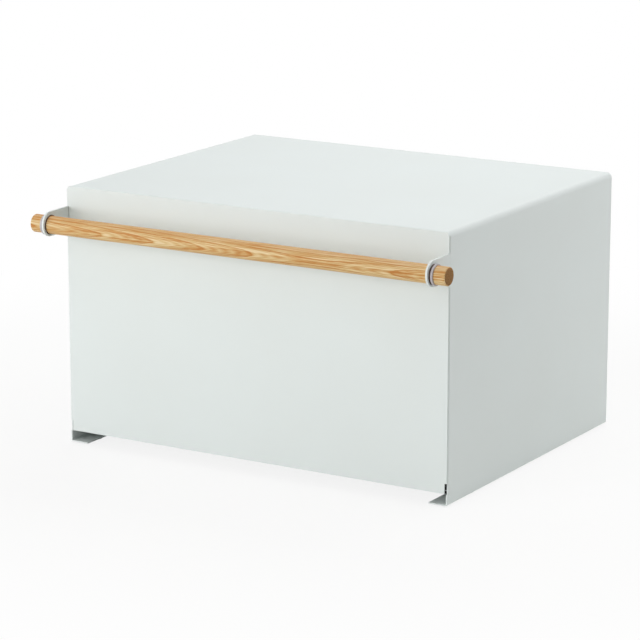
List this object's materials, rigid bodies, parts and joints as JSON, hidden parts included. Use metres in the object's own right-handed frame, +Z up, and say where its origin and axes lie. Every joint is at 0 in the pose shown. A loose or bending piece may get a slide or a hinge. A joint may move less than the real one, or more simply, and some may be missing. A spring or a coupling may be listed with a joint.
{
  "type": "bread box",
  "caption": "Folded white steel bread box with a drop-down front door, hinged at its bottom corners and opened by a round wooden bar on two ears.",
  "frame": {"origin": "centre of the footprint, at the underside of the foot pads", "axes": "+X to the right along the bar as seen from the front, +Y towards the back, +Z up; the door faces -Y"},
  "size_m": [0.43, 0.3552, 0.2445],
  "materials": {
    "white_powder_coat": "fine matt white powder coat on sheet steel",
    "oiled_ash": "turned ash, oiled",
    "grey_silicone": "soft moulded silicone",
    "bright_steel": "zinc-plated steel",
    "nickel_plate": "nickel-plated magnet",
    "white_nylon": "moulded nylon"
  },
  "bodies": {
    "box": {"outer_shell": "white_powder_coat", "back_panel": "white_powder_coat", "floor_panel": "white_powder_coat", "front_rail": "white_powder_coat", "hinge_stud_left": "bright_steel", "hinge_stud_right": "bright_steel", "hinge_washer_left": "white_nylon", "hinge_washer_right": "white_nylon", "hinge_clip_left": "bright_steel", "hinge_clip_right": "bright_steel", "catch_magnet_left": "nickel_plate", "catch_magnet_right": "nickel_plate", "magnet_rivet_left": "bright_steel", "magnet_rivet_right": "bright_steel", "door_buffer_left": "grey_silicone", "door_buffer_right": "grey_silicone", "foot_pad_front_left": "grey_silicone", "foot_pad_front_right": "grey_silicone", "foot_pad_rear_left": "grey_silicone", "foot_pad_rear_right": "grey_silicone"},
    "door": {"door_panel": "white_powder_coat", "door_ear_left": "white_powder_coat", "door_ear_right": "white_powder_coat"},
    "bar": {"handle_bar": "oiled_ash", "bar_ring_left": "grey_silicone", "bar_ring_right": "grey_silicone"}
  },
  "joints": [
    {"name": "door_drop", "type": "hinge", "parent": "box", "child": "door", "pos_m": [0, -0.1334, 0.0155], "axis": [1, 0, 0], "range_deg": [0, 81.5]},
    {"name": "bar_roll", "type": "hinge", "parent": "door", "child": "bar", "pos_m": [0, -0.1661, 0.2132], "axis": [1, 0, 0], "continuous": true}
  ]
}
